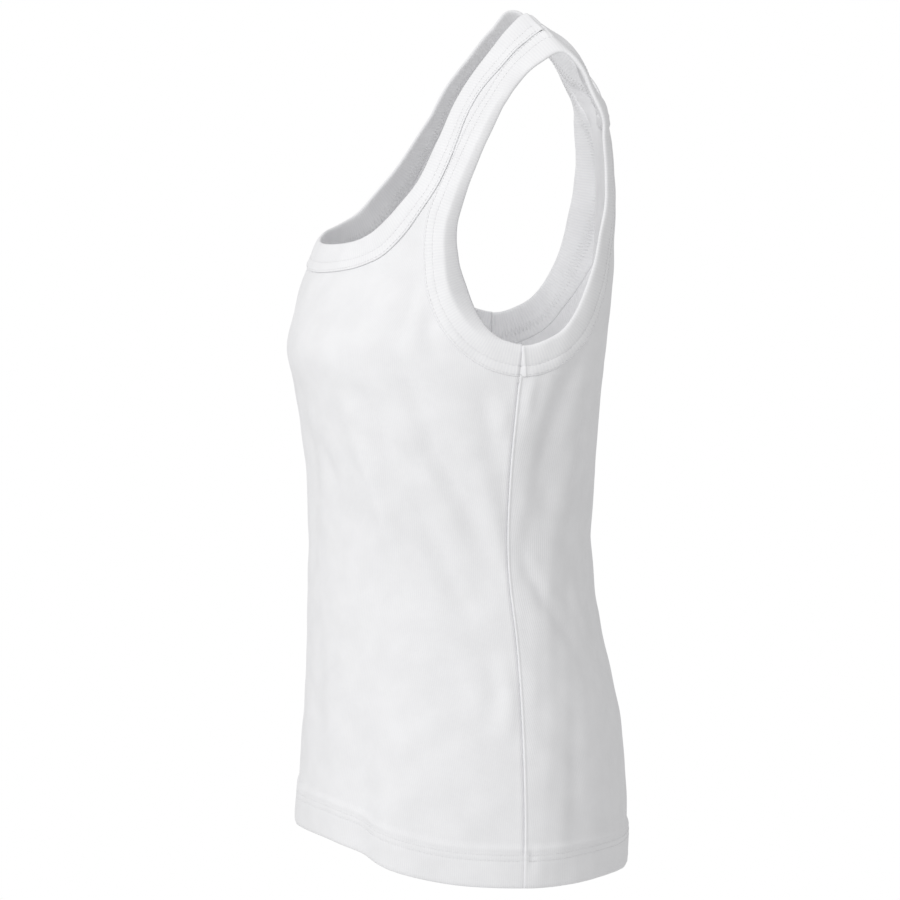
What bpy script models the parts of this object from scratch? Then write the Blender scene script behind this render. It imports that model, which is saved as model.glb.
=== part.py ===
"""Sleeveless rib-knit tank top, held in its worn shape with nobody in it.

Units are metres, +Z up. +X is the wearer's left and -Y is the front. The origin lies midway
between the two straps, level with their highest point, where the wearer's shoulders hold it.

The cloth lies on one smooth form. A place on the form is named by its share of the way from the
centre line (0) to the side line (1), and by its level: the height in millimetres below the
shoulder, counted over the curve of the shoulder on the last few rows.
"""
import math
from functools import partial

import bpy
import numpy as np

MM = 0.001

# Cloth, seams and bands.
CLOTH = 1.2 * MM            # one layer of rib knit
HEM_CLOTH = 2.4 * MM        # two layers where the hem is turned up
HEM_DEPTH = 20.0            # millimetres of turn-up
SEAM_GAP = 0.15 * MM        # half of the gap between two panels at the side
SHOULDER_GAP = 0.45         # the same in millimetres on the shoulder, where the walls lean in
BAND_WIDTH = 21.5 * MM      # fold to stitched edge
BAND_MIDDLE = 11.0 * MM     # inset of the line of points halfway across a band
BAND_FOLD_RUN = 2.0 * MM    # how far the fold takes to open to its full thickness
BAND_LEAF = 1.0 * MM        # one layer of the binding
BAND_CLEAR = 0.7 * MM       # between a panel and the binding that wraps it
EDGE_INSET = 3.0 * MM       # from the fold of a binding to the cut edge of the panel
BODY_AXIS_Y = -15.0         # the upright axis that angles round the body are read from
CENTRE_ANGLE = {"front": 0, "back": 180}
SIDE_SPAN = 0.2             # rough length of a cross row in metres, for the seam's gap

# How fine the meshes are. Rows dip between the neckline and the armhole, to meet both squarely.
PANEL_COLUMNS = 12
SIDE_ROWS = 18              # rows that end on the side seam
CENTRE_ROWS = {"front": 23, "back": 27}     # rows that start on the centre line
PANEL_ROWS = 41
ROW_SAG = {"front": 24.0, "back": 14.0}     # deepest dip of a row, in millimetres
SAG_ROW = {"front": 20.5, "back": 23.0}
SAG_SPREAD = 5.0            # rows over which the dip dies away
HEM_FADE_ROWS = 10          # rows over which the slope of the hem dies away
HEM_STEP = 1.5              # millimetres from double to single cloth
NECK_STATIONS = {side: PANEL_ROWS - rows for side, rows in CENTRE_ROWS.items()}
ARM_STATIONS = PANEL_ROWS - SIDE_ROWS

# Cross rows of the form, in millimetres, from the hem up to the shoulder seam.
ROW_COLUMNS = ("level", "centre_y", "centre_z", "side_x", "side_y", "side_z",
               "full", "reach_in", "reach_out")
FRONT_ROWS = (
    (-620, -169, -620, 168, -15, -620, 1.00, 0.62, 0.56),
    (-560, -166, -560, 166, -14, -560, 1.00, 0.62, 0.56),
    (-500, -162, -500, 158, -15, -500, 1.00, 0.62, 0.56),
    (-440, -160, -440, 145, -18, -440, 1.00, 0.62, 0.56),
    (-380, -159, -380, 138, -24, -380, 1.00, 0.62, 0.56),
    (-320, -161, -320, 144, -23, -320, 1.00, 0.63, 0.56),
    (-270, -168, -270, 149, -19, -270, 1.00, 0.65, 0.55),
    (-240, -174, -240, 150, -16, -240, 1.00, 0.65, 0.54),
    (-226, -173, -226, 150, -15, -226, 1.00, 0.62, 0.53),
    (-205, -165, -205, 149, -14, -205, 1.00, 0.54, 0.50),
    (-165, -149, -165, 147, -12, -165, 1.00, 0.46, 0.43),
    (-140, -140, -140, 146, -10, -140, 0.93, 0.50, 0.43),
    (-116, -124, -116, 148, -14, -116, 0.80, 0.44, 0.43),
    (-86, -109, -86, 152, -15, -86, 0.62, 0.41, 0.41),
    (-54, -93, -45, 152, -5, -56, 0.41, 0.47, 0.44),
    (-36, -76, 4, 152, 6, -53, 0.29, 0.51, 0.46),
    (-18, -62, 41, 152, 18, -49, 0.21, 0.51, 0.49),
    (0, -50, 60, 152, 29, -44, 0.10, 0.52, 0.50),
)
BACK_ROWS = (
    (-620, 71, -620, 168, -15, -620, 1.00, 0.60, 0.56),
    (-560, 71, -560, 166, -14, -560, 1.00, 0.60, 0.56),
    (-500, 66, -500, 158, -15, -500, 1.00, 0.60, 0.56),
    (-440, 52, -440, 145, -18, -440, 1.00, 0.60, 0.56),
    (-380, 46, -380, 138, -24, -380, 1.00, 0.60, 0.57),
    (-320, 48, -320, 144, -23, -320, 1.00, 0.63, 0.60),
    (-270, 52, -270, 149, -19, -270, 1.00, 0.70, 0.67),
    (-240, 54, -240, 150, -16, -240, 1.00, 0.76, 0.75),
    (-226, 55, -226, 150, -15, -226, 1.00, 0.79, 0.79),
    (-205, 56, -205, 150, -13, -205, 1.00, 0.83, 0.84),
    (-165, 57, -165, 150, -6, -165, 1.00, 0.85, 0.88),
    (-116, 57, -116, 151, 9, -116, 1.00, 0.80, 0.88),
    (-86, 54, -84, 151, 22, -88, 1.00, 0.70, 0.79),
    (-54, 42, -43, 152, 34, -68, 0.88, 0.60, 0.75),
    (-36, 18, -11, 153, 37, -52, 0.54, 0.52, 0.58),
    (-18, -20, 24, 153, 37, -45, 0.27, 0.52, 0.51),
    (0, -50, 60, 152, 29, -44, 0.10, 0.52, 0.50),
)

# Edges of the openings, at the fold of their bindings: share of the way to the side line, and
# level in millimetres.
NECK_FRONT = ((0, -165), (0.10, -165), (0.196, -164), (0.299, -161), (0.366, -156),
              (0.411, -149.5), (0.457, -136), (0.497, -116), (0.519, -86), (0.531, -54),
              (0.541, -36), (0.552, -18), (0.56, 0))
NECK_BACK = ((0, -78), (0.082, -77), (0.164, -73.5), (0.231, -69), (0.292, -63.5),
             (0.346, -57.5), (0.397, -51), (0.443, -43), (0.485, -34), (0.516, -24.5),
             (0.54, -14), (0.552, -6.5), (0.56, 0))
ARM_FRONT = ((1, -228), (0.975, -227), (0.935, -224), (0.885, -217), (0.833, -206),
             (0.785, -193), (0.753, -181), (0.73, -169), (0.711, -156), (0.704, -140),
             (0.721, -118), (0.765, -86), (0.796, -66), (0.806, -55), (0.776, -36),
             (0.784, -18), (0.8, 0))
ARM_BACK = ((1, -228), (0.95, -227), (0.88, -223), (0.812, -217), (0.755, -207), (0.71, -194),
            (0.662, -176), (0.622, -154), (0.593, -130), (0.595, -108), (0.637, -80),
            (0.704, -54), (0.766, -36), (0.793, -17), (0.8, 0))

# Each edge with the sense that it runs in, as seen from outside: 1 keeps the cloth on its left.
EDGES = {
    ("neck", "front"): (NECK_FRONT, -1),
    ("neck", "back"): (NECK_BACK, 1),
    ("armhole", "front"): (ARM_FRONT, 1),
    ("armhole", "back"): (ARM_BACK, -1),
}
EDGE_POINTS = 160           # points that an opening's edge is measured with
STEPS_IN = 4                # short steps that a move over the curved cloth is made in
SHARE_STEP, LEVEL_STEP = 0.002, 0.5         # how far apart slopes are measured
CROWD_UP = 0.12             # how much closer together rows come where the cloth bends most
STRAP_FROM, STRAP_FULL = -120.0, -60.0      # levels between which bands turn to follow the rows

# Lower edge of the hem: degrees round the body, level in millimetres.
HEM_LINE = ((0, -588), (20, -584), (38, -585), (55, -595.5), (70, -603), (90, -605.5),
            (110, -605), (140, -609.5), (180, -611))

# Largest folds: the side they are on, the (share, level) places that each runs through, with a
# negative share on the wearer's right, then width and depth in millimetres. A negative depth is
# a ridge.
FOLDS = (
    ("front", ((-0.12, -225), (-0.56, -80)), 34, -10),
    ("back", ((-0.56, -4), (-0.47, -36), (-0.35, -56), (-0.20, -71), (-0.05, -78)), 17, -9.5),
    ("back", ((-0.45, -62), (-0.42, -150), (-0.46, -260)), 22, -17),
    ("back", ((-0.80, 15), (-0.74, -60), (-0.64, -130)), 22, -7),
    ("back", ((-0.66, -110), (-0.72, -250)), 20, -4),
    ("back", ((-0.60, 14), (-0.56, -18)), 14, -3),
    ("back", ((0.57, -10), (0.54, -46)), 14, -3.5),
    ("back", ((0.49, -42), (0.43, -64), (0.33, -80)), 13, 5.5),
    ("back", ((0.48, -70), (0.46, -135)), 16, 1.5),
    ("front", ((0.52, -225), (0.99, -440)), 20, 2.5),
    ("front", ((0.36, -310), (0.72, -520)), 26, 1.5),
    ("front", ((0.46, -470), (0.50, -690)), 14, 5.5),
    ("front", ((0.62, -490), (0.63, -690)), 17, -3),
    ("back", ((0.36, -240), (0.95, -385)), 19, 3),
    ("back", ((0.58, -290), (0.84, -450)), 20, -2.5),
    ("front", ((-0.58, -240), (-0.96, -415)), 22, 3.2),
    ("front", ((-0.24, -330), (-0.66, -500)), 26, 2.4),
    ("front", ((-0.38, -480), (-0.43, -660)), 18, 3.4),
    ("back", ((-0.42, -265), (-0.92, -400)), 21, 2.8),
    ("back", ((-0.30, -430), (-0.42, -680)), 22, 3),
)
FOLD_SPAN = 215.0           # millimetres of cloth from the centre line to the side line
FOLD_FADE = 0.10            # share beside the side seam over which folds die away
RIGHT_DROOP = 5.0           # millimetres that the right strap sits lower than the left one
DROOP_FROM = -130.0         # level above which it does
DROOP_SHARE = 0.4           # and share of the way to the side line by which it does so fully


class Curve:
    """Smooth curve through knots, each knot's slope taken from its two neighbours."""

    def __init__(self, xs, ys):
        self.xs = np.array(xs, dtype=float)
        self.ys = np.array(ys, dtype=float)
        self.slopes = np.gradient(self.ys, self.xs, axis=0)

    def at(self, x):
        i = int(np.clip(np.searchsorted(self.xs, x) - 1, 0, len(self.xs) - 2))
        span = self.xs[i + 1] - self.xs[i]
        t = (x - self.xs[i]) / span
        from_start = (1 + 2 * t) * self.ys[i] + t * span * self.slopes[i]
        from_end = (3 - 2 * t) * self.ys[i + 1] + (t - 1) * span * self.slopes[i + 1]
        return (1 - t) ** 2 * from_start + t * t * from_end


def form_curve(rows, other_side):
    """One side's rows as a curve over level, with one more row past the shoulder."""
    past_shoulder = (-other_side[-2][0],) + other_side[-2][1:]
    rows = np.array(rows + (past_shoulder,), dtype=float)
    return Curve(rows[:, 0], rows[:, 1:])


HEM = Curve(*zip(*HEM_LINE))
FORM = {"front": form_curve(FRONT_ROWS, BACK_ROWS), "back": form_curve(BACK_ROWS, FRONT_ROWS)}


def form_point(side, share, level):
    """Point of the smooth form, in millimetres, on the wearer's left."""
    row = dict(zip(ROW_COLUMNS[1:], FORM[side].at(level)))
    centre = np.array((0.0, row["centre_y"], row["centre_z"]))
    outer = np.array((row["side_x"], row["side_y"], row["side_z"]))
    middle = (centre + outer) / 2
    box_corner = np.array((row["side_x"], row["centre_y"], middle[2]))
    corner = middle + row["full"] * (box_corner - middle)
    near_centre = centre + row["reach_in"] * (corner - centre)
    near_side = outer + row["reach_out"] * (corner - outer)
    rest = 1 - share
    return (rest ** 3 * centre + 3 * rest ** 2 * share * near_centre
            + 3 * rest * share ** 2 * near_side + share ** 3 * outer)


def slopes_at(surface, share, level):
    """How a surface's point moves with share and with level."""
    along = surface(share + SHARE_STEP, level) - surface(share - SHARE_STEP, level)
    up = surface(share, level + LEVEL_STEP) - surface(share, level - LEVEL_STEP)
    return along / (2 * SHARE_STEP), up / (2 * LEVEL_STEP)


def outward(side, share, level, surface=None):
    """Unit normal, pointing out of the garment, of the form or of another surface on its side."""
    along, up = slopes_at(surface or partial(form_point, side), share, level)
    normal = np.cross(along, up) if side == "front" else np.cross(up, along)
    return normal / np.linalg.norm(normal)


def angle_of(point):
    """Degrees round the body, 0 at the centre front and 180 at the centre back."""
    return math.degrees(math.atan2(point[0], BODY_AXIS_Y - point[1]))


def soft_step(x):
    """Smooth rise from 0 to 1 as x goes from 0 to 1."""
    x = min(max(x, 0.0), 1.0)
    return x * x * (3 - 2 * x)


def near_path(spot, path):
    """How far a spot is from a path of knots, and the fraction of the path that it lies beside."""
    lengths = [math.dist(*ends) for ends in zip(path[:-1], path[1:])]
    before, found = 0.0, []
    for start, end, length in zip(path[:-1], path[1:], lengths):
        run = (end - start) / length
        gone = min(max(float(np.dot(spot - start, run)), 0.0), length)
        found.append((math.dist(spot, start + gone * run), (before + gone) / sum(lengths)))
        before += length
    return min(found)


def relief(side, share, level):
    """How far the folds push the cloth out at a place, in millimetres.

    A fold that runs over the shoulder goes on down the other side, where its levels are negated.
    """
    out = 0.0
    scale = np.array((FOLD_SPAN, 1.0))
    for panel, path, width, depth in FOLDS:
        spot = scale * (share, level if panel == side else -level)
        off, along = near_path(spot, scale * np.array(path))
        out -= depth * math.sin(math.pi * along) * math.exp(-(off / width) ** 2)
    return out * soft_step((1 - abs(share)) / FOLD_FADE)


def cloth_point(side, share, level, hand, offset=0.0):
    """Point of the cloth in metres, on the left (hand 1) or the right (hand -1)."""
    def folded(share, level):
        lift = relief(side, hand * share, level)
        return form_point(side, share, level) + lift * outward(side, share, level)

    point = folded(share, level)
    if offset:
        point += offset / MM * outward(side, share, level, folded)
    if hand == -1:
        point[2] -= RIGHT_DROOP * soft_step(1 - level / DROOP_FROM) * soft_step(share / DROOP_SHARE)
    return (hand * point[0] * MM, point[1] * MM, point[2] * MM)


def step(side, place, direction, distance):
    """Move a (share, level) place along a direction by a distance in millimetres."""
    share, level = place
    along, up = slopes_at(partial(form_point, side), share, level)
    moves = np.linalg.lstsq(np.stack((along, up), axis=1), direction * distance, rcond=None)[0]
    return share + moves[0], level + moves[1]


def edge_places(edge):
    """Dense (share, level) places along an opening's edge, in the order of its table."""
    curve = Curve(np.linspace(0, 1, len(edge)), edge)
    return [tuple(curve.at(t)) for t in np.linspace(0, 1, EDGE_POINTS)]


def into_cloth(side, places, turn, inset):
    """Places moved from an opening's edge into the cloth by millimetres.

    They move square to the edge, but along the cross rows of the form on a strap.
    """
    points = np.array([form_point(side, *place) for place in places])
    runs = np.gradient(points, axis=0)
    moved = []
    for place, run in zip(places, runs):
        run = run / np.linalg.norm(run)
        strap = min(max((place[1] - STRAP_FROM) / (STRAP_FULL - STRAP_FROM), 0.0), 1.0)
        for _ in range(STEPS_IN):
            square = turn * np.cross(outward(side, *place), run)
            row, _ = slopes_at(partial(form_point, side), *place)
            row = row / np.linalg.norm(row) * np.sign(np.dot(row, square))
            across = square + strap * (row - square)
            place = step(side, place, across / np.linalg.norm(across), inset / STEPS_IN)
        moved.append(place)
    return moved


def spread(side, places, fractions):
    """Places at fractions of the length of an edge."""
    points = np.array([form_point(side, *place) for place in places])
    lengths = np.concatenate(([0], np.cumsum(np.linalg.norm(np.diff(points, axis=0), axis=1))))
    at = np.asarray(fractions) * lengths[-1]
    shares = np.interp(at, lengths, [place[0] for place in places])
    levels = np.interp(at, lengths, [place[1] for place in places])
    return list(zip(shares, levels))


def opening(name, side, inset, fractions):
    """Places along the edge of an opening, moved into the cloth by an inset in metres."""
    edge, turn = EDGES[name, side]
    rim = spread(side, edge_places(edge), fractions)
    places = into_cloth(side, rim, turn, inset / MM)
    places[0] = (edge[0][0], places[0][1])
    places[-1] = (places[-1][0], 0.0)
    return places


def ease_up(count):
    """Fractions from 0 to 1 that come closer together towards 1, where the cloth bends most."""
    t = np.linspace(0, 1, count + 1)
    return t + CROWD_UP * np.sin(math.pi * t)


def panel_edge(name, side, share, seam_rows):
    """Places up one edge of a half panel: centre line or side seam, then the band's inner edge."""
    angle = 90 if share else CENTRE_ANGLE[side]
    cut = opening(name, side, BAND_WIDTH, ease_up(PANEL_ROWS - seam_rows))
    hem = HEM.at(angle)
    levels = [hem, hem + HEM_DEPTH / 2, hem + HEM_DEPTH]
    levels += list(np.linspace(hem + HEM_DEPTH + HEM_STEP, cut[0][1], seam_rows - 2))
    return [(share, level) for level in levels] + cut[1:]


def panel_rows(side):
    """Rows of places over a half panel by column, from the hem to the shoulder seam.

    Columns 0 to PANEL_COLUMNS lie between the bands. The ones beyond run under the bands.
    """
    inner = panel_edge("neck", side, 0, CENTRE_ROWS[side])
    outer = panel_edge("armhole", side, 1, SIDE_ROWS)
    rows = []
    for number, (start, end) in enumerate(zip(inner, outer)):
        sag = ROW_SAG[side] * math.exp(-((number - SAG_ROW[side]) / SAG_SPREAD) ** 2)
        hem_share = max(0.0, 1 - number / HEM_FADE_ROWS)
        row = {}
        for column in range(PANEL_COLUMNS + 1):
            t = column / PANEL_COLUMNS
            share = start[0] + t * (end[0] - start[0])
            level = start[1] + t * (end[1] - start[1]) - 4 * sag * t * (1 - t)
            angle = angle_of(form_point(side, share, level))
            chord = inner[0][1] + t * (outer[0][1] - inner[0][1])
            row[column] = (share, level + hem_share * (HEM.at(angle) - chord))
        rows.append(row)
    for beyond, inset in enumerate((BAND_MIDDLE, EDGE_INSET), start=1):
        under_neck = opening("neck", side, inset, ease_up(NECK_STATIONS[side]))
        for row, place in zip(rows[CENTRE_ROWS[side]:], under_neck):
            row[-beyond] = place
        under_armhole = opening("armhole", side, inset, ease_up(ARM_STATIONS))
        for row, place in zip(rows[SIDE_ROWS:], under_armhole):
            row[PANEL_COLUMNS + beyond] = place
    widest = 1 - SEAM_GAP / SIDE_SPAN
    rows = [{column: (min(share, widest), level) for column, (share, level) in row.items()}
            for row in rows]
    rows[-1] = {column: (share, -SHOULDER_GAP) for column, (share, _) in rows[-1].items()}
    return rows


def new_object(name, points, faces, collection):
    """Mesh object from points in metres and faces."""
    mesh = bpy.data.meshes.new(name)
    mesh.from_pydata(points, [], faces)
    mesh.update()
    mesh.shade_smooth()
    obj = bpy.data.objects.new(name, mesh)
    collection.objects.link(obj)
    return obj


def add_panel(side, collection):
    """Front or back panel: a sheet over both halves, thickened, and twice as thick at the hem."""
    rows = panel_rows(side)
    points, faces, numbers = [], [], {}
    for hand in (1, -1):
        for r, row in enumerate(rows):
            for c, place in row.items():
                on_centre = place[0] == 0
                if on_centre and hand == -1:
                    numbers[hand, r, c] = numbers[1, r, c]
                    continue
                numbers[hand, r, c] = len(points)
                points.append(cloth_point(side, *place, hand))
        for r, c in [(r, c) for r, row in enumerate(rows[:-1]) for c in row]:
            corners = [(hand, r, c), (hand, r, c + 1), (hand, r + 1, c + 1), (hand, r + 1, c)]
            if all(corner in numbers for corner in corners):
                if c < 0:
                    corners = corners[1:] + corners[:1]
                face = [numbers[corner] for corner in corners]
                outward_order = (hand == 1) == (side == "front")
                faces.append(face if outward_order else face[:1] + face[:0:-1])
    panel = new_object(side, points, faces, collection)
    hem = panel.vertex_groups.new(name="hem")
    hem.add([numbers[hand, r, c] for hand in (1, -1) for r in range(3)
             for c in range(PANEL_COLUMNS + 1)], 1.0, "REPLACE")
    wall = panel.modifiers.new("wall", "SOLIDIFY")
    wall.thickness = HEM_CLOTH
    wall.offset = 0
    wall.vertex_group = hem.name
    wall.thickness_vertex_group = CLOTH / HEM_CLOTH
    return panel


def binding_profile():
    """Middle of the folded strip, seen on end: (inset from the fold, height off the panel)."""
    leaf = CLOTH / 2 + BAND_CLEAR + BAND_LEAF / 2
    fold = BAND_LEAF / 2
    outer = [(BAND_WIDTH, leaf), (BAND_MIDDLE, leaf), (BAND_FOLD_RUN, leaf)]
    inner = [(inset, -height) for inset, height in reversed(outer)]
    return outer + [(fold, 0.0)] + inner


def binding_stations(name, side, count):
    """For each station up one stretch of an opening, its number and its profile's places."""
    profile = binding_profile()
    fractions = ease_up(count)
    lines = {inset: opening(name, side, inset, fractions) for inset, _ in profile}
    return [(i, [(side, *lines[inset][i], height) for inset, height in profile])
            for i in range(count + 1)]


def add_binding(name, stations, collection):
    """Folded rib strip swept round a whole opening and thickened.

    Its faces are split along the same diagonals as the panel's, so that the two lie parallel.
    """
    points = [cloth_point(side, share, level, hand, height)
              for hand, (_, station) in stations for side, share, level, height in station]
    insets = [inset for inset, _ in binding_profile()]
    across = len(insets)
    faces = []
    for s in range(len(stations)):
        after = (s + 1) % len(stations)
        rising = stations[after][1][0] > stations[s][1][0]
        for c in range(across - 1):
            face = [s * across + c, s * across + c + 1,
                    after * across + c + 1, after * across + c]
            deeper_first = insets[c] > insets[c + 1]
            faces.append(face if rising == deeper_first else face[1:] + face[:1])
    band = new_object(name, points, faces, collection)
    wall = band.modifiers.new("wall", "SOLIDIFY")
    wall.thickness = BAND_LEAF
    wall.offset = 0
    wall.use_even_offset = True
    return band


def add_neck_band(collection):
    """Binding round the neckline: front centre, left shoulder, back centre, right shoulder."""
    front = binding_stations("neck", "front", NECK_STATIONS["front"])
    back = binding_stations("neck", "back", NECK_STATIONS["back"])
    left = front + back[-2::-1]
    right = left[-2:0:-1]
    return add_binding("neck_band", [(1, station) for station in left]
                       + [(-1, station) for station in right], collection)


def add_armhole_band(name, hand, collection):
    """Binding round one armhole: underarm, front, shoulder, back."""
    front = binding_stations("armhole", "front", ARM_STATIONS)
    back = binding_stations("armhole", "back", ARM_STATIONS)
    ring = front + back[-2:0:-1]
    return add_binding(name, [(hand, station) for station in ring], collection)


def knit(name, colour, roughness):
    """Matt white cotton knit."""
    material = bpy.data.materials.new(name)
    material.use_nodes = True
    shader = material.node_tree.nodes["Principled BSDF"]
    shader.inputs["Base Color"].default_value = (*colour, 1.0)
    shader.inputs["Roughness"].default_value = roughness
    shader.inputs["Metallic"].default_value = 0.0
    return material


def build():
    for obj in list(bpy.data.objects):
        bpy.data.objects.remove(obj)
    collection = bpy.data.collections.new("tank_top")
    bpy.context.scene.collection.children.link(collection)
    panels = [add_panel("front", collection), add_panel("back", collection)]
    bands = [add_neck_band(collection),
             add_armhole_band("armhole_band_left", 1, collection),
             add_armhole_band("armhole_band_right", -1, collection)]
    for panel in panels:
        panel.data.materials.append(knit("body_rib_" + panel.name, (0.83, 0.83, 0.84), 0.9))
    for band in bands:
        band.data.materials.append(knit("rib_" + band.name, (0.87, 0.87, 0.88), 0.85))


build()
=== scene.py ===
"""Sleeveless rib-knit tank top in its worn shape, with nobody in it.

Metres, +Z up, +X the wearer's left, -Y the front. The origin is where the wearer's shoulders hold
it. The cloth lies on one smooth form. A place on the form is a share of the way from the centre
line (0) to the side line (1), and a level: millimetres below the shoulder, counted over the
curve of the shoulder on the last few rows.
"""
import math

import bmesh
import bpy
import numpy as np
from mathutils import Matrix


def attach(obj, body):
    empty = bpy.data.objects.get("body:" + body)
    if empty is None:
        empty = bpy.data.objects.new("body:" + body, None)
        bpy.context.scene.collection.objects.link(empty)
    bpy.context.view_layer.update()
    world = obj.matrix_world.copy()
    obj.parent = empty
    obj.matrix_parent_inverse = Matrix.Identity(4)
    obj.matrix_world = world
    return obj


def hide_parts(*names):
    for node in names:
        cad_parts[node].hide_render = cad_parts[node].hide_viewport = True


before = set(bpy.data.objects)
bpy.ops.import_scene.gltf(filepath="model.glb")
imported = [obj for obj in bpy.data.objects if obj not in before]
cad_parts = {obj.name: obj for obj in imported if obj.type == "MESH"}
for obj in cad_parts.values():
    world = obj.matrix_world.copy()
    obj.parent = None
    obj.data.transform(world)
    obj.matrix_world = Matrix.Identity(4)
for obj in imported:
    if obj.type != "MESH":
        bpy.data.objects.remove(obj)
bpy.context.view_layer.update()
MM = 0.001

# ---------------------------------------------------------------------------------------------
# Front panel. Fine 1x1 rib knit in white cotton, cut in one piece and turned up at the hem. It
# is sewn to the back at the sides and on the shoulders, and it hangs from the bust in soft folds.
# ---------------------------------------------------------------------------------------------
CLOTH, HEM_CLOTH = 0.9, 1.8         # millimetres, one layer of rib knit and two
HEM_DOUBLE = 24.0           # height above the lower edge up to which the cloth is double
UNDER_BAND = 9.0            # how near to the fold of a binding the panel's cut edge comes
BODY_AXIS_Y = -15.0         # the upright axis that angles round the body are read from

# Cross rows of the form in millimetres, from the hem up to the shoulder: level, centre y and z,
# side x, y and z, then how boxy the row is, and its two reaches towards the box's corner.
FORM_ROWS = {"front": (
    (-620, -169, -620, 168, -15, -620, 1.00, 0.62, 0.56),
    (-560, -166, -560, 166, -14, -560, 1.00, 0.62, 0.56),
    (-500, -162, -500, 158, -15, -500, 1.00, 0.62, 0.56),
    (-440, -160, -440, 145, -18, -440, 1.00, 0.62, 0.56),
    (-380, -159, -380, 138, -24, -380, 1.00, 0.62, 0.56),
    (-320, -161, -320, 144, -23, -320, 1.00, 0.63, 0.56),
    (-270, -168, -270, 149, -19, -270, 1.00, 0.65, 0.55),
    (-240, -174, -240, 150, -16, -240, 1.00, 0.65, 0.54),
    (-226, -173, -226, 150, -15, -226, 1.00, 0.62, 0.53),
    (-205, -165, -205, 149, -14, -205, 1.00, 0.54, 0.50),
    (-165, -149, -165, 147, -12, -165, 1.00, 0.46, 0.43),
    (-140, -140, -140, 146, -10, -140, 0.93, 0.50, 0.43),
    (-116, -124, -116, 148, -14, -116, 0.80, 0.44, 0.43),
    (-86, -109, -86, 152, -15, -86, 0.62, 0.41, 0.41),
    (-54, -93, -45, 152, -5, -56, 0.41, 0.47, 0.44),
    (-36, -76, 4, 152, 6, -53, 0.29, 0.51, 0.46),
    (-18, -62, 41, 152, 18, -49, 0.21, 0.51, 0.49),
    (0, -50, 60, 152, 29, -44, 0.10, 0.52, 0.50),
), "back": (
    (-620, 71, -620, 168, -15, -620, 1.00, 0.60, 0.56),
    (-560, 71, -560, 166, -14, -560, 1.00, 0.60, 0.56),
    (-500, 66, -500, 158, -15, -500, 1.00, 0.60, 0.56),
    (-440, 52, -440, 145, -18, -440, 1.00, 0.60, 0.56),
    (-380, 46, -380, 138, -24, -380, 1.00, 0.60, 0.57),
    (-320, 48, -320, 144, -23, -320, 1.00, 0.63, 0.60),
    (-270, 52, -270, 149, -19, -270, 1.00, 0.70, 0.67),
    (-240, 54, -240, 150, -16, -240, 1.00, 0.76, 0.75),
    (-226, 55, -226, 150, -15, -226, 1.00, 0.79, 0.79),
    (-205, 56, -205, 150, -13, -205, 1.00, 0.83, 0.84),
    (-165, 57, -165, 150, -6, -165, 1.00, 0.85, 0.88),
    (-116, 57, -116, 151, 9, -116, 1.00, 0.80, 0.88),
    (-86, 54, -84, 151, 22, -88, 1.00, 0.70, 0.79),
    (-54, 42, -43, 152, 34, -68, 0.88, 0.60, 0.75),
    (-36, 18, -11, 153, 37, -52, 0.54, 0.52, 0.58),
    (-18, -20, 24, 153, 37, -45, 0.27, 0.52, 0.51),
    (0, -50, 60, 152, 29, -44, 0.10, 0.52, 0.50),
)}

# Edges of the openings at the fold of their bindings, as (share, level), and the side of the
# edge that the cloth is on.
EDGES = {
    ("neck", "front"): (-1, (
        (0, -165), (0.10, -165), (0.196, -164), (0.299, -161), (0.366, -156), (0.411, -149.5),
        (0.457, -136), (0.497, -116), (0.519, -86), (0.531, -54), (0.541, -36), (0.552, -18),
        (0.56, 0))),
    ("neck", "back"): (1, (
        (0, -78), (0.082, -77), (0.164, -73.5), (0.231, -69), (0.292, -63.5), (0.346, -57.5),
        (0.397, -51), (0.443, -43), (0.485, -34), (0.516, -24.5), (0.54, -14), (0.552, -6.5),
        (0.56, 0))),
    ("armhole", "front"): (1, (
        (1, -228), (0.975, -227), (0.935, -224), (0.885, -217), (0.833, -206), (0.785, -193),
        (0.753, -181), (0.73, -169), (0.711, -156), (0.704, -140), (0.721, -118), (0.765, -86),
        (0.796, -66), (0.806, -55), (0.776, -36), (0.784, -18), (0.8, 0))),
    ("armhole", "back"): (-1, (
        (1, -228), (0.95, -227), (0.88, -223), (0.812, -217), (0.755, -207), (0.71, -194),
        (0.662, -176), (0.622, -154), (0.593, -130), (0.595, -108), (0.637, -80), (0.704, -54),
        (0.766, -36), (0.793, -17), (0.8, 0))),
}
STRAP_FROM, STRAP_FULL = -120.0, -60.0      # where bands turn to follow the form's rows
HEM_LINE = ((0, -588), (20, -584), (38, -585), (55, -595.5), (70, -603), (90, -605.5),
            (110, -605), (140, -609.5), (180, -611))    # degrees round the body, level of the edge

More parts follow.
